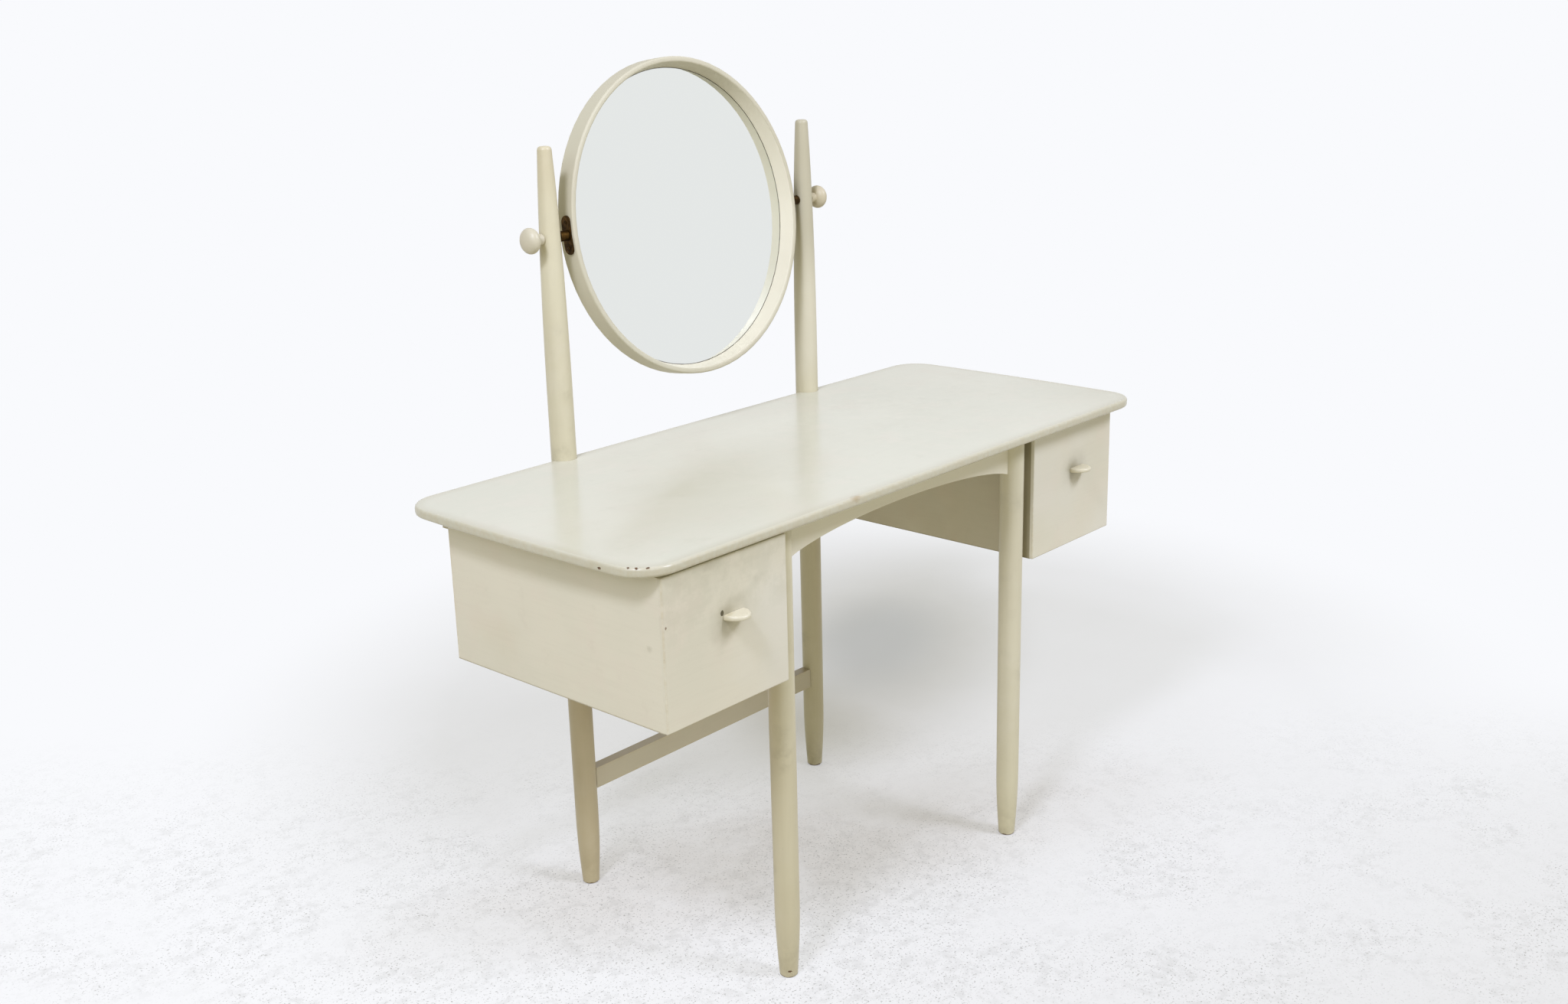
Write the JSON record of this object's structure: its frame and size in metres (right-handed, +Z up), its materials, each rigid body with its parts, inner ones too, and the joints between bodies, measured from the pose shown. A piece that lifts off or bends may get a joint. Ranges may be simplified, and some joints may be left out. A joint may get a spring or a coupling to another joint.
{
  "type": "dressing table",
  "caption": "Painted wooden dressing table with a thin top on round legs, drawers hung under its ends, and a round mirror that tilts between tapered posts.",
  "frame": {"origin": "on the floor, under the middle of the bounding box", "axes": "+X to the right of a person who sits at the table, +Y to the rear, +Z up"},
  "size_m": [1.178, 0.5524, 1.3008],
  "materials": {
    "cream_paint": "cream satin paint on wood, worn",
    "bare_wood": "unpainted pale wood",
    "dark_brass": "tarnished brass",
    "silvered_glass": "silvered glass",
    "hardboard": "brown hardboard"
  },
  "bodies": {
    "frame": {"table_top": "cream_paint", "front_left_leg": "cream_paint", "front_right_leg": "cream_paint", "rear_left_post": "cream_paint", "rear_right_post": "cream_paint", "front_apron": "cream_paint", "rear_apron": "cream_paint", "left_side_rail": "cream_paint", "right_side_rail": "cream_paint", "rear_stretcher": "cream_paint", "left_drawer_outer_hanger": "bare_wood", "left_drawer_outer_bearer": "cream_paint", "left_drawer_inner_hanger": "bare_wood", "left_drawer_inner_bearer": "cream_paint", "right_drawer_outer_hanger": "bare_wood", "right_drawer_outer_bearer": "cream_paint", "right_drawer_inner_hanger": "bare_wood", "right_drawer_inner_bearer": "cream_paint"},
    "left_drawer": {"left_drawer_front": "cream_paint", "left_drawer_outer_side": "cream_paint", "left_drawer_inner_side": "cream_paint", "left_drawer_back": "bare_wood", "left_drawer_bottom": "bare_wood", "left_drawer_outer_cleat": "bare_wood", "left_drawer_inner_cleat": "bare_wood", "left_drawer_pull": "cream_paint"},
    "right_drawer": {"right_drawer_front": "cream_paint", "right_drawer_outer_side": "cream_paint", "right_drawer_inner_side": "cream_paint", "right_drawer_back": "bare_wood", "right_drawer_bottom": "bare_wood", "right_drawer_outer_cleat": "bare_wood", "right_drawer_inner_cleat": "bare_wood", "right_drawer_pull": "cream_paint"},
    "mirror": {"mirror_hoop": "cream_paint", "mirror_glass": "silvered_glass", "mirror_backing": "hardboard", "left_pivot_plate": "dark_brass", "right_pivot_plate": "dark_brass", "left_pivot_stud": "dark_brass", "right_pivot_stud": "dark_brass"},
    "left_knob": {"left_clamp_knob": "cream_paint"},
    "right_knob": {"right_clamp_knob": "cream_paint"}
  },
  "joints": [
    {"name": "left_drawer_slide", "type": "slide", "parent": "frame", "child": "left_drawer", "axis": [0, -1, 0], "range_m": [-0.0223, 0.2677]},
    {"name": "right_drawer_slide", "type": "slide", "parent": "frame", "child": "right_drawer", "axis": [0, -1, 0], "range_m": [0, 0.29]},
    {"name": "mirror_tilt", "type": "hinge", "parent": "frame", "child": "mirror", "pos_m": [0, 0.22702, 1.054], "axis": [1, 0, 0], "range_deg": [-77.8, 92.2]},
    {"name": "left_knob_turn", "type": "hinge", "parent": "mirror", "child": "left_knob", "pos_m": [-0.32, 0.22702, 1.054], "axis": [-1, 0, 0], "range_deg": [0, 270]},
    {"name": "right_knob_turn", "type": "hinge", "parent": "mirror", "child": "right_knob", "pos_m": [0.32, 0.22702, 1.054], "axis": [1, 0, 0], "range_deg": [0, 270]}
  ]
}
